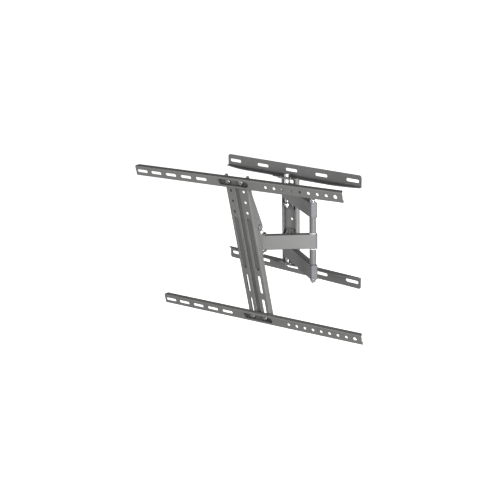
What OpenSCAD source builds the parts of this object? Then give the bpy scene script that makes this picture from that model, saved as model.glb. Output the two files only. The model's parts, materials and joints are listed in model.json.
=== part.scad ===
// Full motion wall mount for a flat screen: a wall frame, a double arm, a forearm,
// a swivel head and a tilting screen frame, shown with its arms half folded.
// +X runs right along the wall, +Z is up and the wall is the plane y = 0, so the
// mount stands out along -Y. The origin is the middle of the wall slots.

/* [Wall frame] */
// Length of each wall rail
rail_len = 500; // [470:5:640]
// Height of a wall rail's flat flange
rail_h = 34; // [30:1:50]
// Sheet thickness of the wall frame
wall_t = 2.5; // [1.5:0.1:3.5]
// Height between the two rows of wall slots
slot_rows = 284; // [280:1:360]
// Distance between neighbouring wall slots
slot_pitch = 110; // [90:1:112]
// Length of a wall slot from end to end
slot_len = 44; // [20:1:60]
// Width of a wall slot
slot_w = 9; // [6:0.5:12]
// How far the ledge of a wall rail stands out
ledge_d = 27; // [24:1:34]
// How far the ledge stands out at the ends of the rail
ledge_end_d = 9; // [5:1:20]
// How far the lobe around the pivot stands out
lobe_d = 36; // [35:1:50]
// Width of the wall post
post_w = 60; // [50:1:80]
// Depth of the wall post
post_d = 13; // [9:0.5:14]
// Width of the lips that close the front of the wall post
post_lip = 7; // [3:0.5:12]

/* [Arms] */
// Distance of the wall pivot from the wall
pivot_out = 23; // [22:0.5:30]
// Length of the double arm between its pivots
arm_len = 230; // [180:1:320]
// Length of the forearm between its pivots
forearm_len = 137; // [110:1:220]
// Height of the arm tubes
arm_h = 40; // [30:1:50]
// Width of the arm tubes
arm_w = 20; // [17:0.5:24]
// Wall thickness of the arm tubes
arm_t = 1.8; // [1.2:0.1:2.5]
// Distance between the ledge of a wall rail and the arm tube next to it
arm_gap = 20; // [14:1:30]
// How far a tube end reaches past its pivot
arm_end = 12; // [10:0.5:16]
// Outer diameter of the tubes between the arms at the elbow
column_od = 18; // [15:0.5:24]

/* [Head] */
// Distance from the swivel axis to the tilt axis
head_reach = 48.5; // [44:0.5:70]
// Height of the tilt axis above the middle of the forearm
tilt_up = 55.5; // [50:0.5:80]
// Sheet thickness of the head yoke
yoke_t = 3; // [2:0.1:4]
// Width of the yoke across its ears
yoke_w = 34; // [30:1:44]
// Radius of the yoke ears around the tilt bolt
ear_r = 12; // [11:0.5:16]

/* [Screen frame] */
// Height between the two screen rails
screen_rows = 400; // [340:5:480]
// Length of each screen rail
screen_rail_len = 640; // [600:5:760]
// Height of a screen rail
screen_rail_h = 28; // [27:0.5:40]
// Depth of a screen rail
screen_rail_d = 12; // [10:0.5:16]
// Sheet thickness of the screen frame
screen_t = 2; // [1.2:0.1:2.5]
// Width of the screen plate
plate_w = 68; // [66:1:90]
// Depth of the side flanges of the screen plate
plate_d = 16; // [12:0.5:24]
// Distance from the middle of the frame up to the tilt axis
tilt_offset = 60; // [40:1:90]
// Distance from the front of the rails back to the tilt axis
tilt_depth = 39; // [36:0.5:60]
// Distance of the screw columns from the middle of the plate
column_x = 20; // [18.5:0.5:24]
// Diameter of the mounting holes in the screen rails
screen_hole = 8.2; // [6:0.1:9]

/* [Fasteners] */
// Diameter of the bolts at the pivots
bolt_d = 8; // [6:0.5:9]
// Radial running clearance of the pivots
run_fit = 0.05; // [0.02:0.01:0.1]
// Gap between faces that slide past each other
slide_gap = 0.15; // [0.05:0.05:0.4]
// Thickness of the plastic glide washers
glide_t = 1.4; // [0.8:0.1:2.5]

/* [Pose] */
// Angle of the double arm out from the wall
arm_angle = 30.8; // [25:0.1:60]
// Angle of the forearm out from the wall
forearm_angle = 45; // [30:0.5:60]
// Angle of the screen from parallel to the wall
head_yaw = 8.5; // [0:0.5:15]
// Forward lean of the screen
lean = 14; // [0:0.5:15]

/* [Hidden] */
$fn = 48;
cut = 1;
// Standard proportions of a hexagon bolt, its nut and its washer
hex_w = 1.625 * bolt_d;
head_h = 0.66 * bolt_d;
nut_h = 0.8 * bolt_d;
washer_od = 2 * bolt_d;
washer_t = 1.6;
tip = 4;
hole_r = bolt_d / 2 + 0.15;
bush_wall = 2;
bush_od = bolt_d + 2 * run_fit + 2 * bush_wall;
seat = 0.05;

// Wall frame levels, measured up from the middle
slot_z = slot_rows / 2;
ledge_z = slot_z - rail_h / 2;
lobe_w = 2 * (post_w - 12);
lobe_cut = 7;
taper_len = 95;
rail_corner = 7;
fold_r = wall_t + 1.5;
tab_w = 44;
tab_end = pivot_out + 13;
post_corner = 3;
cable_hole_z = ledge_z - 16;
post_hole_r = 4;
rivet_r = 2.5;
rivet_head_r = 4;
rivet_top_r = 2.6;
rivet_head = 1.2;
rivet_x = 16;
rivet_y = pivot_out + 6;

// Levels of the arms
arm_top = ledge_z - arm_gap;
arm_z = arm_top - arm_h / 2;
arm_bottom = arm_top - arm_h;
lower_spacer = 11;
bracket_z = arm_bottom - lower_spacer;
bracket_t = 2.5;
bracket_w = 28;
bracket_h = 26;
bracket_rivet_x = bracket_w / 2 - 7;
bracket_rivet_z = bracket_z - bracket_h / 2;
spacer_od = 12;
pivot_bolt_len = wall_t + washer_t + ledge_z - bracket_z + bracket_t + washer_t + nut_h + tip;

// Where the pivots stand in plan
elbow = [arm_len * cos(arm_angle), -pivot_out - arm_len * sin(arm_angle)];
head = elbow - forearm_len * [cos(forearm_angle), sin(forearm_angle)];

// Caps that close the tube ends
cap_t = 4;
cap_r = 4;
tube_end = arm_end - cap_t;
plug_len = 3;
plug_wall = 1.5;
tube_r = 2.5;
tube_inner_r = tube_r - arm_t / 2;
plug_w = arm_w - 2 * arm_t - 2 * seat;
plug_h = arm_h - 2 * arm_t - 2 * seat;

// Elbow column
column_top = arm_bottom;
column_low = arm_h / 2 + slide_gap + glide_t;
glide_od = column_od + 2;

// Screen frame, with y measured back from the front of the rails
plate_y = screen_rail_d;
plate_back = plate_y + plate_d;
plate_half = screen_rows / 2 + 10;
flange_top = screen_rows / 2 + 14;
groove_w = 13;
groove_d = 4.5;
rib_w = 14;
rib_d = 4;
rib_low = -56;
rib_high = 96;
screw_hole_r = 3.75;
recess_len = 94;
recess_h = 16;
screw_z = screen_rows / 2;
screw_head_r = 6.5;
screw_head = 5;
screw_socket_r = 2.9;
rail_screw_len = 2 * screen_t + nut_h + 2;
flange_nip = 5;
rail_bend = 2.5;
plate_ear_r = min(7, plate_d / 2);
plate_corner = 3;
plate_hole_z = [112, 142, 172];
height_slot = [-127, -73];
foot_slot_top = -145;
// Stations of the mounting slots and holes along a screen rail
slot_x = [-297, -250, -200, -150, -100];
screen_slot_len = 34.5;
screen_slot_w = 8.5;
hole_x = [for (i = [4:12]) 25 * i];
end_hole_r = screen_hole / 2 + 1;

// Cheeks and yoke, stacked outwards from the middle along the tilt axis
cheek_t = 2.4;
cheek_x = plate_w / 2 - screen_t - cheek_t;
friction_t = 1;
ear_x = yoke_w / 2 - yoke_t;
yoke_y = arm_end + 4;
tab_z = arm_h / 2 + slide_gap + glide_t;
ear_low = tab_z + yoke_t;
ear_depth = 22;
button_r = 8;
button_h = 3;
cheek_y = plate_y + rib_d + screen_t + 0.5;
cheek_top = 172;
cheek_low = -30;
cheek_rivet_y = max(plate_back - 4.5, plate_y + rib_d + screen_t + rivet_head_r - 0.2);
cheek_rivet_z = [-18, 10, 36, 90, 150];

// ---- Frames of the moving bodies at rest ----

module at_arm() {
    translate([0, -pivot_out, 0])
        rotate([0, 0, -arm_angle])
            children();
}

module at_forearm() {
    translate([elbow.x, elbow.y, 0])
        rotate([0, 0, 180 + forearm_angle])
            children();
}

module at_head() {
    translate([head.x, head.y, 0])
        rotate([0, 0, head_yaw])
            children();
}

module at_tilt() {
    at_head()
        translate([0, -head_reach, tilt_up])
            rotate([lean, 0, 0])
                children();
}

module at_screen() {
    at_tilt()
        translate([0, -tilt_depth, -tilt_offset])
            children();
}

module both_rows() {
    children();
    mirror([0, 0, 1])
        children();
}

module both_sides() {
    children();
    mirror([1, 0, 0])
        children();
}

// ---- Flat shapes and small parts that repeat ----

module rounded_rect(w, h, r) {
    square([w - 2 * r, h], center = true);
    square([w, h - 2 * r], center = true);
    for (sx = [-1, 1], sy = [-1, 1])
        translate([sx * (w / 2 - r), sy * (h / 2 - r)])
            circle(r);
}

module obround(len, w) {
    square([len - w, w], center = true);
    for (s = [-1, 1])
        translate([s * (len - w) / 2, 0])
            circle(w / 2);
}

// Stands a flat shape drawn in x and z up against the plane y = 0, reaching to y = -t
module upright(t) {
    rotate([90, 0, 0])
        linear_extrude(t)
            children();
}

// Stands a flat shape drawn in x and z up, reaching from y = back_from to y = back_to
module sheet(back_from, back_to) {
    translate([0, back_to, 0])
        upright(back_to - back_from)
            children();
}

module ring(ro, ri, h) {
    difference() {
        cylinder(h = h, r = ro);
        translate([0, 0, -cut])
            cylinder(h = h + 2 * cut, r = ri);
    }
}

// A bolt along z whose head sits on z = 0 and whose shank runs down to z = -len
module bolt(len) {
    intersection() {
        cylinder(h = head_h, r = hex_w / sqrt(3), $fn = 6);
        cylinder(h = head_h, r1 = hex_w * 0.62, r2 = hex_w * 0.5);
    }
    translate([0, 0, -len])
        cylinder(h = len + 0.5, r = bolt_d / 2);
}

// A flange nut that sits on z = 0 and stands up from it
module nut() {
    difference() {
        union() {
            cylinder(h = nut_h, r = hex_w / sqrt(3), $fn = 6);
            cylinder(h = 1.4, r = hex_w * 0.62);
        }
        translate([0, 0, -cut])
            cylinder(h = nut_h + 2 * cut, r = bolt_d / 2 + seat);
    }
}

module washer(t = washer_t, od = washer_od) {
    ring(od / 2, hole_r, t);
}

// ---- Wall frame ----

// Front edge of the ledge from its end to its full depth, as a quarter sine
function ledge_edge(s) =
    [for (i = [0:8])
        let (u = i / 8)
        [s * (rail_len / 2 - taper_len * u), -ledge_end_d - (ledge_d - ledge_end_d) * sin(90 * u)]];

module ledge_outline() {
    polygon(concat(
        [[-rail_len / 2, 0]],
        ledge_edge(-1),
        [for (i = [8:-1:0]) ledge_edge(1)[i]],
        [[rail_len / 2, 0]]
    ));
    polygon([
        [-lobe_w / 2, -ledge_d + 1],
        [-lobe_w / 2 + lobe_cut, -lobe_d],
        [lobe_w / 2 - lobe_cut, -lobe_d],
        [lobe_w / 2, -ledge_d + 1]
    ]);
}

// Runs a shape drawn in y and z along the fold between flange and ledge
module along_fold(len) {
    translate([-len / 2, 0, ledge_z])
        rotate([90, 0, 90])
            linear_extrude(len)
                children();
}

module wall_rail() {
    color("dimgray")
    difference() {
        union() {
            upright(wall_t)
                intersection() {
                    translate([0, slot_z])
                        square([rail_len, rail_h], center = true);
                    translate([0, slot_z - rail_corner])
                        rounded_rect(rail_len, rail_h + 2 * rail_corner, rail_corner);
                }
            translate([0, 0, ledge_z])
                linear_extrude(wall_t)
                    ledge_outline();
            along_fold(rail_len)
                difference() {
                    translate([-fold_r, wall_t - 0.5])
                        square([fold_r - wall_t + 0.5, fold_r - wall_t + 0.5]);
                    translate([-fold_r, fold_r])
                        circle(fold_r - wall_t);
                }
        }
        along_fold(rail_len + 2 * cut)
            difference() {
                translate([-fold_r, -cut])
                    square([fold_r + cut, fold_r + cut]);
                translate([-fold_r, fold_r])
                    circle(fold_r);
            }
        for (i = [-2:2])
            translate([i * slot_pitch, cut, slot_z])
                upright(wall_t + 2 * cut)
                    obround(slot_len, slot_w);
        translate([0, -pivot_out, ledge_z - cut])
            cylinder(h = wall_t + 2 * cut, r = hole_r);
        for (s = [-1, 1])
            translate([s * rivet_x, -rivet_y, ledge_z - cut])
                cylinder(h = wall_t + 2 * cut, r = rivet_r);
    }
}

module upper_wall_rail() {
    wall_rail();
}

module lower_wall_rail() {
    mirror([0, 0, 1])
        wall_rail();
}

// Lipped channel, open to the room, with a tab folded forward under each ledge
module wall_post() {
    color("dimgray")
    difference() {
        union() {
            linear_extrude(2 * ledge_z, center = true)
                difference() {
                    translate([0, -post_d / 2])
                        rounded_rect(post_w, post_d, post_corner);
                    translate([0, -post_d / 2])
                        square([post_w - 2 * wall_t, post_d - 2 * wall_t], center = true);
                    translate([-post_w / 2 + post_lip, -post_d - cut])
                        square([post_w - 2 * post_lip, post_d / 2 + cut]);
                }
            both_rows()
                translate([-tab_w / 2, -tab_end, ledge_z - wall_t])
                    cube([tab_w, tab_end, wall_t]);
        }
        both_rows() {
            translate([0, -pivot_out, ledge_z - wall_t - cut])
                cylinder(h = wall_t + 2 * cut, r = hole_r);
            for (s = [-1, 1])
                translate([s * rivet_x, -rivet_y, ledge_z - wall_t - cut])
                    cylinder(h = wall_t + 2 * cut, r = rivet_r);
            for (s = [-1, 1])
                translate([s * bracket_rivet_x, cut, bracket_rivet_z])
                    upright(wall_t + 2 * cut)
                        circle(rivet_r);
            translate([0, cut, cable_hole_z])
                upright(wall_t + 2 * cut)
                    obround(16, 10);
        }
        translate([0, cut, 0])
            upright(wall_t + 2 * cut)
                circle(post_hole_r);
    }
}

// Tab that holds the inner end of a pivot bolt, with a back plate and two gussets
module pivot_bracket() {
    color("slategray")
    difference() {
        union() {
            translate([-bracket_w / 2, -wall_t - bracket_t, bracket_z - bracket_h])
                cube([bracket_w, bracket_t, bracket_h]);
            translate([0, 0, bracket_z - bracket_t])
                linear_extrude(bracket_t) {
                    translate([-bracket_w / 2, -pivot_out])
                        square([bracket_w, pivot_out - wall_t]);
                    translate([0, -pivot_out])
                        circle(bracket_w / 2);
                }
            both_sides()
                translate([bracket_w / 2 - bracket_t, 0, 0])
                    rotate([90, 0, 90])
                        linear_extrude(bracket_t)
                            polygon([
                                [-wall_t - 0.5, bracket_z - bracket_h],
                                [-wall_t - 0.5, bracket_z - 0.5],
                                [-pivot_out, bracket_z - 0.5],
                                [-wall_t - bracket_t, bracket_z - bracket_h]
                            ]);
        }
        translate([0, -pivot_out, bracket_z - bracket_t - cut])
            cylinder(h = bracket_t + 2 * cut, r = hole_r);
        for (s = [-1, 1])
            translate([s * bracket_rivet_x, -wall_t + cut, bracket_rivet_z])
                upright(bracket_t + 2 * cut)
                    circle(rivet_r);
    }
}

module upper_pivot_bracket() {
    pivot_bracket();
}

module lower_pivot_bracket() {
    mirror([0, 0, 1])
        pivot_bracket();
}

// A rivet along z that fills a hole through grip and has a low head at each end
module rivet(grip) {
    cylinder(h = grip, r = rivet_r - seat);
    translate([0, 0, grip])
        cylinder(h = rivet_head, r1 = rivet_head_r, r2 = rivet_top_r);
    translate([0, 0, -0.8])
        cylinder(h = 0.8, r = rivet_head_r - 0.4);
}

module wall_rivets() {
    color("silver")
    both_rows()
        for (s = [-1, 1])
            translate([s * rivet_x, -rivet_y, ledge_z - wall_t])
                rivet(2 * wall_t);
    color("silver")
    both_rows()
        for (s = [-1, 1])
            translate([s * bracket_rivet_x, -wall_t - bracket_t, bracket_rivet_z])
                rotate([-90, 0, 0])
                    rivet_flush(wall_t + bracket_t);
}

// A rivet whose far end is flush, so that the post stays flat against the wall
module rivet_flush(grip) {
    cylinder(h = grip - 0.3, r = rivet_r - seat);
    translate([0, 0, -rivet_head])
        cylinder(h = rivet_head, r1 = rivet_top_r, r2 = rivet_head_r);
}

module wall_pivot_bolts() {
    color("silver")
    both_rows()
        translate([0, -pivot_out, ledge_z + wall_t + washer_t])
            bolt(pivot_bolt_len);
}

module wall_pivot_nuts() {
    color("silver")
    both_rows()
        translate([0, -pivot_out, bracket_z - bracket_t - washer_t])
            mirror([0, 0, 1])
                nut();
}

module wall_pivot_washers() {
    color("gainsboro")
    both_rows() {
        translate([0, -pivot_out, ledge_z + wall_t])
            washer();
        translate([0, -pivot_out, bracket_z - bracket_t - washer_t])
            washer();
    }
}

module wall_pivot_spacers() {
    color("silver")
    both_rows() {
        translate([0, -pivot_out, arm_top + slide_gap])
            ring(spacer_od / 2, hole_r, arm_gap - wall_t - slide_gap);
        translate([0, -pivot_out, bracket_z])
            ring(spacer_od / 2, hole_r, lower_spacer - slide_gap);
    }
}

// ---- Tubes of the arms ----

// Rectangular tube along x from x0 to x1, with cross bores of radius bore_r at the stations
module arm_tube(x0, x1, stations, bore_r) {
    difference() {
        translate([x0, 0, 0])
            rotate([90, 0, 90])
                linear_extrude(x1 - x0)
                    difference() {
                        rounded_rect(arm_w, arm_h, tube_r);
                        rounded_rect(arm_w - 2 * arm_t, arm_h - 2 * arm_t, tube_inner_r);
                    }
        for (x = stations)
            translate([x, 0, -arm_h / 2 - cut])
                cylinder(h = arm_h + 2 * cut, r = bore_r);
    }
}

// Cap that closes the +x end of a tube at x = tube_end, with a plug inside the tube,
// both clear of the sleeve at the pivot
module end_cap() {
    difference() {
        union() {
            translate([tube_end, 0, -arm_h / 2])
                linear_extrude(arm_h)
                    difference() {
                        translate([cap_t - cap_r - 0.5, 0])
                            rounded_rect(2 * cap_r + 1, arm_w, cap_r);
                        translate([-2 * arm_w, -arm_w])
                            square([2 * arm_w, 2 * arm_w]);
                    }
            translate([tube_end - plug_len, 0, 0])
                rotate([90, 0, 90])
                    linear_extrude(plug_len + 0.5)
                        difference() {
                            rounded_rect(plug_w, plug_h, tube_inner_r);
                            square([plug_w - 2 * plug_wall, plug_h - 2 * plug_wall], center = true);
                        }
        }
        translate([0, 0, -arm_h / 2 - cut])
            cylinder(h = arm_h + 2 * cut, r = bush_od / 2 + 0.3);
    }
}

module arm_level(s) {
    at_arm()
        translate([0, 0, s * arm_z])
            children();
}

module upper_arm_tube() {
    color("dimgray")
    arm_level(1)
        arm_tube(-tube_end, arm_len + tube_end, [0, arm_len], bush_od / 2 + seat);
}

module lower_arm_tube() {
    color("dimgray")
    arm_level(-1)
        arm_tube(-tube_end, arm_len + tube_end, [0, arm_len], bush_od / 2 + seat);
}

module arm_wall_caps() {
    color("lightslategray")
    for (s = [-1, 1])
        arm_level(s)
            mirror([1, 0, 0])
                end_cap();
}

module upper_elbow_cap() {
    color("lightslategray")
    arm_level(1)
        translate([arm_len, 0, 0])
            end_cap();
}

module lower_elbow_cap() {
    color("lightslategray")
    arm_level(-1)
        translate([arm_len, 0, 0])
            end_cap();
}

// Plastic bearing sleeve through the full height of a tube
module sleeve() {
    translate([0, 0, -arm_h / 2])
        ring(bush_od / 2, bolt_d / 2 + run_fit, arm_h);
}

module arm_pivot_sleeves() {
    color("whitesmoke")
    for (s = [-1, 1])
        arm_level(s)
            sleeve();
}

module arm_elbow_spacers() {
    color("silver")
    for (s = [-1, 1])
        arm_level(s)
            translate([arm_len, 0, -arm_h / 2])
                ring(bush_od / 2, hole_r, arm_h);
}

// ---- Elbow ----

module at_elbow() {
    at_arm()
        translate([arm_len, 0, 0])
            children();
}

module column_tube() {
    translate([0, 0, column_low])
        ring(column_od / 2, hole_r, column_top - column_low);
}

module upper_column_tube() {
    color("gray")
    at_elbow()
        column_tube();
}

module lower_column_tube() {
    color("gray")
    at_elbow()
        mirror([0, 0, 1])
            column_tube();
}

module elbow_bolt() {
    color("silver")
    at_elbow()
        translate([0, 0, arm_top + washer_t])
            bolt(2 * (arm_top + washer_t) + nut_h + tip);
}

module elbow_nut() {
    color("silver")
    at_elbow()
        translate([0, 0, -arm_top - washer_t])
            mirror([0, 0, 1])
                nut();
}

module elbow_washers() {
    color("gainsboro")
    at_elbow()
        both_rows()
            translate([0, 0, arm_top])
                washer();
}

module elbow_glides() {
    color("whitesmoke")
    at_elbow()
        both_rows()
            translate([0, 0, arm_h / 2 + slide_gap])
                washer(glide_t, glide_od);
}

// ---- Forearm ----

module forearm_tube() {
    color("gray")
    at_forearm()
        arm_tube(-tube_end, forearm_len + tube_end, [0, forearm_len], bush_od / 2 + seat);
}

module forearm_elbow_cap() {
    color("lightslategray")
    at_forearm()
        mirror([1, 0, 0])
            end_cap();
}

module forearm_head_cap() {
    color("lightslategray")
    at_forearm()
        translate([forearm_len, 0, 0])
            end_cap();
}

module forearm_elbow_sleeve() {
    color("whitesmoke")
    at_forearm()
        sleeve();
}

module forearm_head_sleeve() {
    color("whitesmoke")
    at_forearm()
        translate([forearm_len, 0, 0])
            sleeve();
}

// ---- Swivel head ----

// Side view of an ear in y and z: it rises from the web to the tilt axis
module ear_outline() {
    polygon([
        [-yoke_y, -ear_low],
        [-yoke_y, ear_low],
        [-yoke_y - 8, ear_low + 3],
        [-head_reach + ear_r * cos(30), tilt_up + ear_r * sin(30)],
        [-head_reach, tilt_up],
        [-head_reach - ear_r * cos(10), tilt_up - ear_r * sin(10)],
        [-yoke_y - ear_depth, ear_low - 8],
        [-yoke_y - ear_depth, -ear_low + 6],
        [-yoke_y - ear_depth + 6, -ear_low]
    ]);
    translate([-head_reach, tilt_up])
        circle(ear_r);
}

module head_yoke() {
    color("gray")
    at_head()
    difference() {
        union() {
            translate([-yoke_w / 2, -yoke_y - yoke_t, -ear_low])
                cube([yoke_w, yoke_t, 2 * ear_low]);
            both_rows()
                translate([0, 0, tab_z])
                    linear_extrude(yoke_t) {
                        circle(yoke_w / 2 - 2);
                        translate([-yoke_w / 2 + 2, -yoke_y - 0.5])
                            square([yoke_w - 4, yoke_y + 0.5]);
                    }
            both_sides()
                translate([ear_x, 0, 0])
                    rotate([90, 0, 90])
                        linear_extrude(yoke_t)
                            ear_outline();
        }
        translate([0, 0, -ear_low - cut])
            cylinder(h = 2 * ear_low + 2 * cut, r = hole_r);
        translate([0, -head_reach, tilt_up])
            rotate([0, 90, 0])
                cylinder(h = yoke_w + 2 * cut, r = bolt_d / 2 + run_fit, center = true);
    }
}

module swivel_bolt() {
    color("silver")
    at_head()
        translate([0, 0, ear_low + washer_t])
            bolt(2 * (ear_low + washer_t) + nut_h + tip);
}

module swivel_nut() {
    color("silver")
    at_head()
        translate([0, 0, -ear_low - washer_t])
            mirror([0, 0, 1])
                nut();
}

module swivel_washers() {
    color("gainsboro")
    at_head()
        both_rows()
            translate([0, 0, ear_low])
                washer();
}

module swivel_glides() {
    color("whitesmoke")
    at_head()
        both_rows()
            translate([0, 0, arm_h / 2 + slide_gap])
                washer(glide_t, glide_od);
}

// ---- Screen frame ----

// Cross-section of the plate: two flat bands, a groove between them and two side flanges
module plate_section() {
    intersection() {
        union() {
            both_sides() {
                translate([groove_w / 2, plate_y])
                    square([plate_w / 2 - groove_w / 2, screen_t]);
                translate([groove_w / 2, plate_y])
                    square([screen_t, groove_d + screen_t]);
                translate([plate_w / 2 - screen_t, plate_y])
                    square([screen_t, plate_d]);
            }
            translate([-groove_w / 2 - 0.5, plate_y + groove_d])
                square([groove_w + 1, screen_t]);
        }
        translate([0, plate_y + plate_d])
            rounded_rect(plate_w, 2 * plate_d, plate_corner);
    }
}

module rib_outline(w) {
    translate([0, (rib_low + rib_high) / 2])
        rotate(90)
            obround(rib_high - rib_low + w - rib_w, w);
}

module vertical_slot(z0, z1, w) {
    translate([0, (z0 + z1) / 2])
        rotate(90)
            obround(z1 - z0, w);
}

module screen_plate() {
    color("dimgray")
    at_screen()
    difference() {
        union() {
            translate([0, 0, -plate_half])
                linear_extrude(2 * plate_half)
                    plate_section();
            both_sides()
                translate([column_x, 0, 0])
                    sheet(plate_y, plate_y + rib_d + screen_t)
                        rib_outline(rib_w + 2 * screen_t);
            both_sides()
                translate([plate_w / 2 - screen_t, 0, 0])
                    rotate([90, 0, 90])
                        linear_extrude(screen_t)
                            translate([plate_back - plate_ear_r, flange_top - plate_ear_r])
                                circle(plate_ear_r);
        }
        both_sides()
            translate([column_x, 0, 0]) {
                sheet(plate_y - cut, plate_y + rib_d)
                    rib_outline(rib_w);
                sheet(plate_y - cut, plate_y + screen_t + cut) {
                    for (z = plate_hole_z)
                        translate([0, z])
                            circle(screw_hole_r);
                    translate([0, screw_z])
                        circle(hole_r);
                    vertical_slot(height_slot[0], height_slot[1], bolt_d);
                    vertical_slot(-screw_z - hole_r, foot_slot_top, 2 * hole_r);
                }
            }
        for (z = cheek_rivet_z)
            translate([0, cheek_rivet_y, z])
                rotate([0, 90, 0])
                    cylinder(h = plate_w + 2 * cut, r = rivet_r, center = true);
        translate([0, tilt_depth, tilt_offset])
            rotate([0, 90, 0])
                cylinder(h = plate_w + 2 * cut, r = button_r + 0.5, center = true);
    }
}

// Side view of the long leg of a cheek in y and z, measured from the front of the rails
module cheek_outline() {
    polygon([
        [cheek_y, cheek_top],
        [cheek_y + 9, cheek_top],
        [tilt_depth + ear_r * cos(12), tilt_offset + ear_r * sin(12)],
        [tilt_depth, tilt_offset],
        [tilt_depth, tilt_offset - ear_r],
        [plate_back - 1, tilt_offset - ear_r - 6],
        [plate_back - 1, 0],
        [plate_back + 5, -10],
        [plate_back, cheek_low],
        [cheek_y, cheek_low]
    ]);
}

module cheek() {
    translate([cheek_x, 0, 0])
        difference() {
            union() {
                rotate([90, 0, 90])
                    linear_extrude(cheek_t)
                        cheek_outline();
                translate([0, tilt_depth, tilt_offset])
                    rotate([0, 90, 0])
                        cylinder(h = cheek_t, r = ear_r);
            }
            translate([-cut, tilt_depth, tilt_offset])
                rotate([0, 90, 0])
                    cylinder(h = cheek_t + 2 * cut, r = hole_r);
            for (z = cheek_rivet_z)
                translate([-cut, cheek_rivet_y, z])
                    rotate([0, 90, 0])
                        cylinder(h = cheek_t + 2 * cut, r = rivet_r);
        }
}

module right_cheek() {
    color("dimgray")
    at_screen()
        cheek();
}

module left_cheek() {
    color("dimgray")
    at_screen()
        mirror([1, 0, 0])
            cheek();
}

module upper_screen_rail() {
    color("gray")
    at_screen()
        screen_rail(1);
}

module lower_screen_rail() {
    color("gray")
    at_screen()
        screen_rail(-1);
}

// Channel with its flanges turned back and a pressed seat for the two screws
module screen_rail(s) {
    translate([0, 0, s * screw_z])
    difference() {
        union() {
            difference() {
                translate([-screen_rail_len / 2, 0, 0])
                    rotate([90, 0, 90])
                        linear_extrude(screen_rail_len)
                            intersection() {
                                translate([0, -screen_rail_h / 2])
                                    square([screen_rail_d, screen_rail_h]);
                                translate([screen_rail_d, 0])
                                    rounded_rect(2 * screen_rail_d, screen_rail_h, rail_bend);
                            }
                translate([-screen_rail_len / 2 - cut, screen_t, -screen_rail_h / 2 + screen_t])
                    cube([screen_rail_len + 2 * cut, screen_rail_d, screen_rail_h - 2 * screen_t]);
                both_sides()
                    translate([screen_rail_len / 2, 0, -screen_rail_h / 2 - cut])
                        linear_extrude(screen_rail_h + 2 * cut)
                            polygon([
                                [cut, screen_t],
                                [cut, screen_rail_d + cut],
                                [-flange_nip, screen_rail_d + cut]
                            ]);
            }
            sheet(0.5, screen_rail_d)
                obround(recess_len + 2 * screen_t, recess_h + 2 * screen_t);
        }
        sheet(-cut, screen_rail_d - screen_t)
            obround(recess_len, recess_h);
        sheet(-cut, screen_rail_d + cut) {
            for (x = [-column_x, column_x])
                translate([x, 0])
                    circle(hole_r);
            for (x = slot_x)
                translate([x, 0])
                    obround(screen_slot_len, screen_slot_w);
            for (x = hole_x)
                translate([x, 0])
                    circle(x == max(hole_x) ? end_hole_r : screen_hole / 2);
        }
    }
}

module rail_fixings() {
    at_screen()
        for (x = [-column_x, column_x], z = [-screw_z, screw_z])
            translate([x, 0, z])
                children();
}

module rail_screws() {
    color("silver")
    rail_fixings()
        translate([0, screen_rail_d - screen_t, 0])
            rotate([90, 0, 0])
                screw(rail_screw_len);
}

// A pan head screw along z, head on z = 0, with a hexagon socket
module screw(len) {
    difference() {
        union() {
            cylinder(h = screw_head - 1, r = screw_head_r);
            translate([0, 0, screw_head - 1])
                cylinder(h = 1, r1 = screw_head_r, r2 = screw_head_r - 1.1);
        }
        translate([0, 0, 2])
            cylinder(h = screw_head, r = screw_socket_r, $fn = 6);
    }
    translate([0, 0, -len])
        cylinder(h = len + 0.5, r = bolt_d / 2);
}

module rail_nuts() {
    color("silver")
    rail_fixings()
        translate([0, plate_y + screen_t, 0])
            rotate([-90, 0, 0])
                nut();
}

module cheek_rivets() {
    color("silver")
    at_screen()
        both_sides()
            for (z = cheek_rivet_z)
                translate([cheek_x, cheek_rivet_y, z])
                    rotate([0, 90, 0])
                        rivet(cheek_t + screen_t);
}

// Low button head, painted like the frame
module button_head() {
    cylinder(h = button_h / 2, r = button_r);
    translate([0, 0, button_h / 2])
        cylinder(h = button_h / 2, r1 = button_r, r2 = button_r - 2);
}

module tilt_bolt() {
    color("dimgray")
    at_tilt() {
        translate([cheek_x + cheek_t, 0, 0])
            rotate([0, 90, 0])
                button_head();
        rotate([0, 90, 0])
            cylinder(h = 2 * (cheek_x + cheek_t), r = bolt_d / 2, center = true);
        translate([cheek_x + cheek_t - 0.5, 0, 0])
            rotate([0, 90, 0])
                cylinder(h = 1, r = bolt_d / 2);
    }
}

module tilt_nut() {
    color("dimgray")
    at_tilt()
        translate([-cheek_x - cheek_t, 0, 0])
            rotate([0, -90, 0])
                button_head();
}

module tilt_spacers() {
    color("silver")
    at_tilt()
        both_sides()
            translate([yoke_w / 2 + slide_gap + friction_t, 0, 0])
                rotate([0, 90, 0])
                    ring(spacer_od / 2, hole_r, cheek_x - yoke_w / 2 - slide_gap - friction_t);
}

module tilt_friction_washers() {
    color("black")
    at_tilt()
        both_sides()
            translate([yoke_w / 2 + slide_gap, 0, 0])
                rotate([0, 90, 0])
                    washer(friction_t, 2 * ear_r - 2);
}

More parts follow.
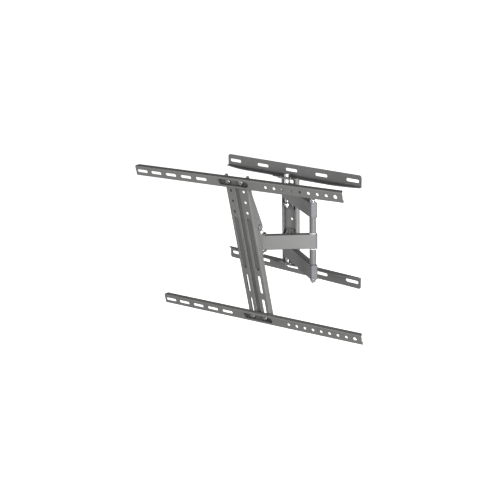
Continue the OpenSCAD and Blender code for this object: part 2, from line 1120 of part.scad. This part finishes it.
upper_wall_rail();
lower_wall_rail();
wall_post();
upper_pivot_bracket();
lower_pivot_bracket();
wall_rivets();
wall_pivot_bolts();
wall_pivot_nuts();
wall_pivot_washers();
wall_pivot_spacers();
upper_arm_tube();
lower_arm_tube();
arm_wall_caps();
upper_elbow_cap();
lower_elbow_cap();
arm_pivot_sleeves();
arm_elbow_spacers();
upper_column_tube();
lower_column_tube();
elbow_bolt();
elbow_nut();
elbow_washers();
elbow_glides();
forearm_tube();
forearm_elbow_cap();
forearm_head_cap();
forearm_elbow_sleeve();
forearm_head_sleeve();
head_yoke();
swivel_bolt();
swivel_nut();
swivel_washers();
swivel_glides();
screen_plate();
left_cheek();
right_cheek();
cheek_rivets();
upper_screen_rail();
lower_screen_rail();
rail_screws();
rail_nuts();
tilt_bolt();
tilt_nut();
tilt_spacers();
tilt_friction_washers();
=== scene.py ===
"""Looks of the full motion wall mount: paint, plastic and zinc on the CAD parts, small details, studio."""
import json
import math

import bmesh
import bpy
from mathutils import Matrix, Vector


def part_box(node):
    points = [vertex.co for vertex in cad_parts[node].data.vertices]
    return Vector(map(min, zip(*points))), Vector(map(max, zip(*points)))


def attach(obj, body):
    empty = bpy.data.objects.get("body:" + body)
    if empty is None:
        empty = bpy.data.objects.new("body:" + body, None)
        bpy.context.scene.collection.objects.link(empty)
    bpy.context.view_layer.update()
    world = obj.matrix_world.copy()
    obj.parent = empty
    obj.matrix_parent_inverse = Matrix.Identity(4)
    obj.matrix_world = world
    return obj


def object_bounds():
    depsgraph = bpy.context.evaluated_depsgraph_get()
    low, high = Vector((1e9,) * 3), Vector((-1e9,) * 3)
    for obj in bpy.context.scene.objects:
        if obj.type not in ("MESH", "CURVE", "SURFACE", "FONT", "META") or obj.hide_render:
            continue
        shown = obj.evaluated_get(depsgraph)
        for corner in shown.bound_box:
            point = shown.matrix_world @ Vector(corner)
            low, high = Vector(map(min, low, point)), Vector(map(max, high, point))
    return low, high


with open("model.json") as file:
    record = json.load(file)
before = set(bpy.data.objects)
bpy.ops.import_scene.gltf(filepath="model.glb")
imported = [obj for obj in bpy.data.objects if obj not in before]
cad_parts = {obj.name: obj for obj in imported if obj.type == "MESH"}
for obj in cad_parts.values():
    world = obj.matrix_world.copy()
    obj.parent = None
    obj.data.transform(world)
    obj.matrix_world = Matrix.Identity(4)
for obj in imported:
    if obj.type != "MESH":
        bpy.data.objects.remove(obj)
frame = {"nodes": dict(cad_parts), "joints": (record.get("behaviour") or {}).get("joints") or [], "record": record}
CAD_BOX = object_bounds()
NODES = frame["nodes"]
RECORD = frame["record"]
JOINTS = {joint["name"]: joint for joint in frame["joints"]}

# ---- Sizes of the small pieces, in metres ----

SHANK_RADIUS = 0.004        # M8 bolts, as in the CAD model
THREAD_PITCH = 0.00125      # coarse M8 thread
THREAD_RISE = 0.00045       # crest above the bare shank
THREAD_FOOT = 0.0003        # foot below the shank's surface
THREAD_RUNOUT = 0.00055     # how far the ridge sinks where it starts and ends
THREAD_STOP = 0.0006        # how far the thread stops short of the bolt's end
THREAD_STEPS = 20           # steps in a turn
TIP_SIDES = 32

SHEET = 0.0025              # steel sheet of the wall rails
RIDGE_FOOT = 0.0002         # how deep a pressed ridge starts below its face
RIDGE_STEPS = 8             # steps across a ridge's rounded section

# Sockets of a Mix node that is set to colours.
MIX_FACTOR, MIX_A, MIX_B, MIX_RESULT = 0, 6, 7, 2


# ---- Node helpers ----

def new_material(name):
    mat = bpy.data.materials.new(name)
    mat.use_nodes = True
    tree = mat.node_tree
    tree.nodes.clear()
    out = tree.nodes.new("ShaderNodeOutputMaterial")
    shader = tree.nodes.new("ShaderNodeBsdfPrincipled")
    tree.links.new(shader.outputs["BSDF"], out.inputs["Surface"])
    return mat, tree, shader


def object_coords(tree, scale=(1, 1, 1)):
    coords = tree.nodes.new("ShaderNodeTexCoord")
    mapping = tree.nodes.new("ShaderNodeMapping")
    mapping.inputs["Scale"].default_value = scale
    tree.links.new(coords.outputs["Object"], mapping.inputs["Vector"])
    return mapping.outputs["Vector"]


def noise(tree, vector, scale, detail, rough):
    node = tree.nodes.new("ShaderNodeTexNoise")
    node.inputs["Scale"].default_value = scale
    node.inputs["Detail"].default_value = detail
    node.inputs["Roughness"].default_value = rough
    tree.links.new(vector, node.inputs["Vector"])
    return node.outputs["Fac"]


def ramp(tree, fac, stops):
    """Colour ramp through (position, colour) stops, from the lowest position to the highest."""
    node = tree.nodes.new("ShaderNodeValToRGB")
    first, last = node.color_ramp.elements
    first.position, first.color = stops[0]
    last.position, last.color = stops[-1]
    for position, color in stops[1:-1]:
        node.color_ramp.elements.new(position).color = color
    tree.links.new(fac, node.inputs["Fac"])
    return node.outputs["Color"]


def grey(level, tint=(1.0, 1.0, 1.0)):
    return (level * tint[0], level * tint[1], level * tint[2], 1.0)


def spread(tree, value, low, high, start=0.0, end=1.0):
    """Moves a value from the range of start to end onto that of low to high, and holds it there."""
    node = tree.nodes.new("ShaderNodeMapRange")
    node.inputs["From Min"].default_value = start
    node.inputs["From Max"].default_value = end
    node.inputs["To Min"].default_value = low
    node.inputs["To Max"].default_value = high
    tree.links.new(value, node.inputs["Value"])
    return node.outputs["Result"]


def times(tree, first, second):
    """Product of two values, held between 0 and 1."""
    node = tree.nodes.new("ShaderNodeMath")
    node.operation = "MULTIPLY"
    node.use_clamp = True
    tree.links.new(first, node.inputs[0])
    tree.links.new(second, node.inputs[1])
    return node.outputs[0]


def mix_color(tree, fac, a, b, mode="MIX"):
    node = tree.nodes.new("ShaderNodeMix")
    node.data_type = "RGBA"
    node.blend_type = mode
    for socket, value in ((MIX_FACTOR, fac), (MIX_A, a), (MIX_B, b)):
        if isinstance(value, bpy.types.NodeSocket):
            tree.links.new(value, node.inputs[socket])
        else:
            node.inputs[socket].default_value = value
    return node.outputs[MIX_RESULT]


def bump(tree, height, strength, distance, normal):
    node = tree.nodes.new("ShaderNodeBump")
    node.inputs["Strength"].default_value = strength
    node.inputs["Distance"].default_value = distance
    tree.links.new(height, node.inputs["Height"])
    tree.links.new(normal, node.inputs["Normal"])
    return node.outputs["Normal"]


def soft_edges(tree, radius):
    node = tree.nodes.new("ShaderNodeBevel")
    node.samples = 6
    node.inputs["Radius"].default_value = radius
    return node.outputs["Normal"]


def edge_mask(tree, soft, highlight_and_wear, flat):
    """From 0 on flat faces to 1 on edges, by how well the softened normal agrees with the face's own."""
    geometry = tree.nodes.new("ShaderNodeNewGeometry")
    dot = tree.nodes.new("ShaderNodeVectorMath")
    dot.operation = "DOT_PRODUCT"
    tree.links.new(soft, dot.inputs[0])
    tree.links.new(geometry.outputs["Normal"], dot.inputs[1])
    return spread(tree, dot.outputs["Value"], 0.0, 1.0, start=flat, end=highlight_and_wear)


def painted_crease_shade(tree, distance):
    """1 on open faces and lower in corners and grooves, where the painted shade falls."""
    node = tree.nodes.new("ShaderNodeAmbientOcclusion")
    node.samples = 8
    node.inputs["Distance"].default_value = distance
    return node.outputs["AO"]


# ---- Materials ----

def powder_paint(name, level, tint, edge=0.0010, shade_reach=0.006):
    """Satin powder coat: fine orange peel, faint clouding, a painted highlight with wear along edges, painted
    shade in creases.
    """
    mat, tree, shader = new_material(name)
    vector = object_coords(tree)
    clouds = noise(tree, vector, scale=9.0, detail=4.0, rough=0.6)
    speckle = noise(tree, vector, scale=1400.0, detail=2.0, rough=0.5)
    base = ramp(tree, clouds, [(0.3, grey(level * 0.93, tint)), (0.7, grey(level * 1.07, tint))])
    grain = ramp(tree, speckle, [(0.35, grey(0.86)), (0.65, grey(1.12))])
    color = mix_color(tree, 0.6, base, grain, "MULTIPLY")
    # Painted shade: the paint is darkened in corners, grooves and recesses.
    crease_shade = ramp(tree, painted_crease_shade(tree, shade_reach), [(0.3, grey(0.18)), (0.85, grey(1.0))])
    color = mix_color(tree, 1.0, color, crease_shade, "MULTIPLY")
    soft = soft_edges(tree, edge)
    # Painted highlight along edges, broken into patches that also stand for wear.
    highlit_edge_band = edge_mask(tree, soft, highlight_and_wear=0.86, flat=0.995)
    patches = noise(tree, vector, scale=60.0, detail=4.0, rough=0.7)
    highlight_and_wear = times(tree, highlit_edge_band, spread(tree, patches, -0.5, 1.4))
    color = mix_color(tree, highlight_and_wear, color, grey(level * 1.6, tint))
    tree.links.new(color, shader.inputs["Base Color"])
    tree.links.new(spread(tree, clouds, 0.40, 0.54), shader.inputs["Roughness"])
    peel = noise(tree, vector, scale=700.0, detail=2.0, rough=0.5)
    normal = bump(tree, peel, strength=0.22, distance=0.00012, normal=soft)
    tree.links.new(normal, shader.inputs["Normal"])
    shader.inputs["Specular IOR Level"].default_value = 0.5
    return mat


def zinc_plate(name, level, tint, rough_low, rough_high):
    """Zinc plate: faint turning lines, cloudy passivation, crisp but softened edges."""
    mat, tree, shader = new_material(name)
    vector = object_coords(tree)
    clouds = noise(tree, vector, scale=120.0, detail=3.0, rough=0.6)
    color = ramp(tree, clouds, [(0.3, grey(level * 0.9, tint)), (0.7, grey(level, (1.0, 1.0, 0.98)))])
    tree.links.new(color, shader.inputs["Base Color"])
    tree.links.new(spread(tree, clouds, rough_low, rough_high), shader.inputs["Roughness"])
    lines = noise(tree, object_coords(tree, (1, 1, 8)), scale=900.0, detail=2.0, rough=0.5)
    normal = bump(tree, lines, strength=0.12, distance=0.0001, normal=soft_edges(tree, 0.0004))
    tree.links.new(normal, shader.inputs["Normal"])
    shader.inputs["Metallic"].default_value = 1.0
    return mat


def moulded_plastic(name, level, tint, rough, grain_scale, depth, edge, glow=0.0):
    """Moulded plastic with a spark-eroded grain and a painted highlight along its rounded edges."""
    mat, tree, shader = new_material(name)
    vector = object_coords(tree)
    clouds = noise(tree, vector, scale=40.0, detail=3.0, rough=0.5)
    base = ramp(tree, clouds, [(0.3, grey(level * 0.95, tint)), (0.7, grey(level * 1.05, tint))])
    soft = soft_edges(tree, edge)
    highlit_edge_band = edge_mask(tree, soft, highlight_and_wear=0.8, flat=0.99)
    # Painted highlight: lighter colour on the rounded edges.
    color = mix_color(tree, spread(tree, highlit_edge_band, 0.0, 0.55), base, grey(level * 1.5, tint))
    tree.links.new(color, shader.inputs["Base Color"])
    tree.links.new(spread(tree, clouds, rough - 0.05, rough + 0.07), shader.inputs["Roughness"])
    grain = tree.nodes.new("ShaderNodeTexVoronoi")
    grain.inputs["Scale"].default_value = grain_scale
    tree.links.new(vector, grain.inputs["Vector"])
    normal = bump(tree, grain.outputs["Distance"], strength=0.3, distance=depth, normal=soft)
    tree.links.new(normal, shader.inputs["Normal"])
    if glow:
        shader.inputs["Subsurface Weight"].default_value = glow
        shader.inputs["Subsurface Radius"].default_value = (0.0012, 0.0012, 0.0012)
    return mat


FRAME_TINT = (1.0, 1.0, 0.985)
SCREEN_TINT = (1.0, 0.995, 0.97)

FRAME_PAINT = powder_paint("frame_paint_coat", 0.100, FRAME_TINT)
ARM_PAINT = powder_paint("arm_paint_coat", 0.105, FRAME_TINT)
SCREEN_PAINT = powder_paint("screen_paint_coat", 0.100, SCREEN_TINT)
# The rails' paint reaches further with its painted shade, so the screw recesses come out darker.
RAIL_PAINT = powder_paint("rail_paint_deep_shade", 0.104, SCREEN_TINT, shade_reach=0.016)
# The post's paint is the frame paint made lighter: painted light that lifts the shade on the post.
POST_PAINT_LIT = powder_paint("post_paint_lightened", 0.145, FRAME_TINT)
TUBE_PAINT = powder_paint("column_paint_coat", 0.090, (1.0, 1.0, 0.99))
CAP_PLASTIC = moulded_plastic("cap_plastic_grain", 0.070, (0.98, 0.98, 1.12), rough=0.5,
                              grain_scale=1500.0, depth=0.00008, edge=0.0014)
NYLON = moulded_plastic("nylon_grain", 0.75, (1.0, 1.0, 0.97), rough=0.42,
                        grain_scale=1200.0, depth=0.00004, edge=0.0003, glow=0.15)
RUBBER = moulded_plastic("friction_grain", 0.035, (1.0, 1.0, 1.0), rough=0.7,
                         grain_scale=1800.0, depth=0.0001, edge=0.0002)
ZINC = zinc_plate("zinc_bright", 0.62, (0.97, 0.98, 1.02), rough_low=0.20, rough_high=0.36)
ZINC_DULL = zinc_plate("zinc_satin", 0.46, (0.98, 0.99, 1.0), rough_low=0.30, rough_high=0.46)

SLOT_LOOKS = {
    "frame_paint": FRAME_PAINT,
    "arm_paint": ARM_PAINT,
    "screen_paint": SCREEN_PAINT,
    "cap_plastic": CAP_PLASTIC,
    "zinc": ZINC,
    "nylon": NYLON,
    "friction_rubber": RUBBER,
}

# Nodes that look a little different from the rest of their slot.
NODE_LOOKS = {
    "wall_post": POST_PAINT_LIT,
    "upper_column_tube": TUBE_PAINT,
    "lower_column_tube": TUBE_PAINT,
    "upper_screen_rail": RAIL_PAINT,
    "lower_screen_rail": RAIL_PAINT,
    "cheek_rivets": SCREEN_PAINT,
    "wall_rivets": ZINC_DULL,
    "rail_nuts": ZINC_DULL,
    "rail_screws": ZINC_DULL,
    "elbow_washers": ZINC_DULL,
    "swivel_washers": ZINC_DULL,
}


def dress_cad_nodes():
    """Gives each CAD node its own look or, where it has none, the look of its slot."""
    slots = {part["node"]: part["material_slot"] for part in RECORD["subparts"]}
    for name, obj in NODES.items():
        obj.data.materials.clear()
        obj.data.materials.append(NODE_LOOKS.get(name, SLOT_LOOKS[slots[name]]))


# ---- Shaping ----

def piece(name, bm, body, look):
    """Makes a smooth visible piece of a mesh and fixes it to a body."""
    bmesh.ops.recalc_face_normals(bm, faces=bm.faces)
    mesh = bpy.data.meshes.new(name)
    bm.to_mesh(mesh)
    bm.free()
    for poly in mesh.polygons:
        poly.use_smooth = True
    obj = bpy.data.objects.new(name, mesh)
    bpy.context.scene.collection.objects.link(obj)
    mesh.materials.append(look)
    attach(obj, body)


def skin(bm, rings):
    """Joins rings of points, all of the same count, into a skin and closes both of its ends."""
    count = len(rings[0])
    for ring, following in zip(rings, rings[1:]):
        for i in range(count):
            j = (i + 1) % count
            bm.faces.new((ring[i], ring[j], following[j], following[i]))
    bm.faces.new(list(reversed(rings[0])))
    bm.faces.new(rings[-1])


def axis_frame(axis):
    """The axis and two directions at right angles to it and to each other."""
    axis = axis.normalized()
    side = axis.orthogonal().normalized()
    return axis, side, axis.cross(side)


def turned(side, across, angle):
    """Direction at an angle from side towards across."""
    return side * math.cos(angle) + across * math.sin(angle)


def world_points(node):
    obj = NODES[node]
    return [obj.matrix_world @ v.co for v in obj.data.vertices]


# ---- Threads ----

def thread(bm, start, axis, length):
    """A helical ridge of triangular section around a bolt's bare end, from start along axis."""
    axis, side, across = axis_frame(axis)
    count = int(length / THREAD_PITCH * THREAD_STEPS)
    half_width = THREAD_PITCH * 0.42
    section = [(-half_width, -THREAD_FOOT), (0.0, THREAD_RISE), (half_width, -THREAD_FOOT)]
    rings = []
    for i in range(count + 1):
        turns, turns_left = i / THREAD_STEPS, (count - i) / THREAD_STEPS
        out = turned(side, across, 2 * math.pi * turns)
        # The ridge comes up over the first half turn and sinks over about the last two thirds of one.
        full = min(1.0, turns * 2, turns_left * 1.5 + 0.05)
        radius = SHANK_RADIUS - THREAD_RUNOUT * (1 - full)
        point = start + axis * (turns * THREAD_PITCH) + out * radius
        rings.append([bm.verts.new(point + axis * along + out * rise) for along, rise in section])
    skin(bm, rings)


def tip(bm, start, axis, length):
    """A chamfered disc, narrower than the shank, that stands just proud of the bolt's end."""
    axis, side, across = axis_frame(axis)
    rings = []
    for beyond, inset in ((-0.0002, 0.0003), (0.0005, 0.0005), (0.0010, 0.0011)):
        ring = []
        for k in range(TIP_SIDES):
            out = turned(side, across, 2 * math.pi * k / TIP_SIDES)
            ring.append(bm.verts.new(start + axis * (length + beyond) + out * (SHANK_RADIUS - inset)))
        rings.append(ring)
    skin(bm, rings)


def build_thread(name, body, joint, nut_face, end):
    """Threaded end of a bolt on a joint's axis, between the heights of its nut's face and of its end."""
    x, y = JOINTS[joint]["pos_m"][:2]
    start = Vector((x, y, nut_face))
    axis = Vector((0, 0, math.copysign(1, end - nut_face)))
    length = abs(end - nut_face) - THREAD_STOP
    bm = bmesh.new()
    thread(bm, start, axis, length)
    tip(bm, start, axis, length)
    piece(name, bm, body, ZINC_DULL)


def nearest_height(node):
    """How near a pair of like parts, above and below, comes to the middle of the wall frame."""
    return min(abs(point.z) for point in world_points(node))


def build_threads():
    """Threads on the bolt ends that stand out of the nuts."""
    for name, body, joint, nut, shank in (
        ("elbow_bolt_thread", "double_arm", "elbow_swivel", "elbow_nut", "elbow_bolt"),
        ("swivel_bolt_thread", "head", "head_swivel", "swivel_nut", "swivel_bolt"),
    ):
        build_thread(name, body, joint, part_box(nut)[0].z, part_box(shank)[0].z)
    nut_face, end = nearest_height("wall_pivot_nuts"), nearest_height("wall_pivot_bolts")
    for name, sign in (("upper_wall_bolt_thread", 1), ("lower_wall_bolt_thread", -1)):
        build_thread(name, "wall_frame", "wall_swivel", sign * nut_face, sign * end)


# ---- Pressed ridges ----

def ridge(bm, path, up, width, height):
    """Pressed ridge of rounded section that stands on a face and thins to a quarter at both ends."""
    last = len(path) - 1
    rings = []
    for i, point in enumerate(path):
        along = (path[min(i + 1, last)] - path[max(i - 1, 0)]).normalized()
        side = along.cross(up).normalized()
        size = 0.25 + 0.75 * math.sin(math.pi * i / last)
        ring = []
        for k in range(RIDGE_STEPS + 1):
            angle = math.pi * k / RIDGE_STEPS
            sideways = math.cos(angle) * width / 2 * size
            rise = math.sin(angle) * height * size - RIDGE_FOOT
            ring.append(bm.verts.new(point + side * sideways + up * rise))
        rings.append(ring)
    skin(bm, rings)


def build_ledge_ridges():
    """Curved stiffening ridges pressed in the ledge of each wall rail, beside the pivot lobe."""
    inner, outer = 0.030, 0.042                 # from the middle line, at the front and at the back
    front, run, bow = 0.0045, 0.0125, 0.003     # from the ledge's front edge towards the wall
    steps = 12
    post_low, post_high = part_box("wall_post")
    for name, rail, post_end, sign in (("upper_ledge_ridges", "upper_wall_rail", post_high.z, 1),
                                       ("lower_ledge_ridges", "lower_wall_rail", post_low.z, -1)):
        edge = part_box(rail)[0].y
        level = post_end + sign * SHEET
        bm = bmesh.new()
        for side in (-1, 1):
            path = []
            for i in range(steps + 1):
                along = i / steps
                x = side * (inner + (outer - inner) * along)
                y = edge + front + run * along + bow * math.sin(math.pi * along)
                path.append(Vector((x, y, level)))
            ridge(bm, path, Vector((0, 0, sign)), width=0.0022, height=0.0008)
        piece(name, bm, "wall_frame", FRAME_PAINT)


def build_cheek_arcs():
    """Raised arc pressed in each cheek around the tilt bolt."""
    radius, steps = 0.0103, 32
    start, sweep = -100, 160                    # degrees, from straight back towards the top
    tilt = JOINTS["screen_tilt"]
    centre, axis = Vector(tilt["pos_m"]), Vector(tilt["axis"]).normalized()
    face = max((point - centre).dot(axis) for point in world_points("right_cheek"))
    up = Vector((0, 0, 1))
    up = (up - axis * up.dot(axis)).normalized()
    back = axis.cross(up) * -1
    for name, sign in (("right_cheek_arc", 1), ("left_cheek_arc", -1)):
        path = []
        for i in range(steps + 1):
            angle = math.radians(start + sweep * i / steps)
            path.append(centre + axis * (sign * face) + turned(back, up, angle) * radius)
        bm = bmesh.new()
        ridge(bm, path, axis * sign, width=0.0013, height=0.0007)
        piece(name, bm, "screen_frame", SCREEN_PAINT)


# ---- Studio ----

def towards(azimuth, elevation):
    """Direction from the mount to a viewer or a lamp; azimuth 0 is straight in front."""
    turn, rise = math.radians(azimuth), math.radians(elevation)
    return Vector((math.sin(turn) * math.cos(rise), -math.cos(turn) * math.cos(rise), math.sin(rise)))


def lay_floor():
    """Pale floor well below the hanging mount. It glows by itself but doesn't light the mount."""
    below, reach = 0.35, 40.0
    bm = bmesh.new()
    bmesh.ops.create_grid(bm, x_segments=2, y_segments=2, size=reach)
    mesh = bpy.data.meshes.new("floor")
    bm.to_mesh(mesh)
    bm.free()
    floor = bpy.data.objects.new("floor", mesh)
    floor.location = (0, 0, CAD_BOX[0].z - below)
    bpy.context.scene.collection.objects.link(floor)
    mat, tree, shader = new_material("pale_floor")
    clouds = noise(tree, object_coords(tree), scale=1.5, detail=3.0, rough=0.55)
    tone = ramp(tree, clouds, [(0.3, grey(0.86)), (0.7, grey(0.89))])
    tree.links.new(tone, shader.inputs["Base Color"])
    shader.inputs["Roughness"].default_value = 0.9
    shader.inputs["Emission Color"].default_value = (1, 1, 1, 1)
    shader.inputs["Emission Strength"].default_value = 1.0
    mesh.materials.append(mat)
    floor.visible_diffuse = False
    floor.visible_glossy = False


def surround():
    """World that is near white at the horizon, darker below and darkest overhead."""
    world = bpy.data.worlds.new("studio")
    world.use_nodes = True
    tree = world.node_tree
    background = tree.nodes["Background"]
    split = tree.nodes.new("ShaderNodeSeparateXYZ")
    tree.links.new(tree.nodes.new("ShaderNodeTexCoord").outputs["Generated"], split.inputs["Vector"])
    height = spread(tree, split.outputs["Z"], 0.0, 1.0, start=-1.0)
    below = [(0.0, grey(0.28)), (0.42, grey(0.45)), (0.49, grey(0.95))]
    above = [(0.60, grey(0.90)), (0.66, grey(0.30)), (0.82, grey(0.05))]
    tree.links.new(ramp(tree, height, below + above), background.inputs["Color"])
    background.inputs["Strength"].default_value = 1.0
    bpy.context.scene.world = world
    bpy.context.scene.view_settings.view_transform = "Standard"


def area_light(name, azimuth, elevation, distance, size, watts):
    """Square lamp that faces the middle of the mount; angles in degrees, lengths in metres."""
    way = towards(azimuth, elevation)
    data = bpy.data.lights.new(name, "AREA")
    data.shape = "SQUARE"
    data.size = size
    data.energy = watts
    lamp = bpy.data.objects.new(name, data)
    lamp.location = (CAD_BOX[0] + CAD_BOX[1]) / 2 + way * distance
    lamp.rotation_mode = "QUATERNION"
    lamp.rotation_quaternion = (-way).to_track_quat("-Z", "Y")
    bpy.context.scene.collection.objects.link(lamp)


def studio():
    """Floor, surroundings and soft lamps, with the strongest lamp on the right."""
    lay_floor()
    surround()
    area_light("key", azimuth=74, elevation=5, distance=3.2, size=1.6, watts=230)
    area_light("front", azimuth=-12, elevation=8, distance=1.9, size=0.9, watts=18)
    area_light("top", azimuth=30, elevation=75, distance=3.0, size=2.5, watts=2)
    area_light("back", azimuth=195, elevation=-4, distance=3.4, size=1.0, watts=40)
    area_light("left", azimuth=280, elevation=-2, distance=3.4, size=1.0, watts=14)


def camera():
    """Long lens from the front right, a little above, rolled slightly as the picture is."""
    azimuth, elevation, roll = 44.13, 15.97, math.radians(-1.24)
    place, lens = (2.024, -2.263, 0.778), 78.89
    back = towards(azimuth, elevation)
    level_right = Vector((math.cos(math.radians(azimuth)), math.sin(math.radians(azimuth)), 0))
    level_up = back.cross(level_right)
    right = level_right * math.cos(roll) + level_up * math.sin(roll)
    up = level_up * math.cos(roll) - level_right * math.sin(roll)
    data = bpy.data.cameras.new("camera")
    data.sensor_width = 36
    data.lens = lens
    data.clip_start, data.clip_end = 0.05, 200
    cam = bpy.data.objects.new("camera", data)
    cam.matrix_world = Matrix.Translation(place) @ Matrix((right, up, back)).transposed().to_4x4()
    bpy.context.scene.collection.objects.link(cam)
    bpy.context.scene.camera = cam


camera()
dress_cad_nodes()
build_threads()
build_ledge_ridges()
build_cheek_arcs()
studio()
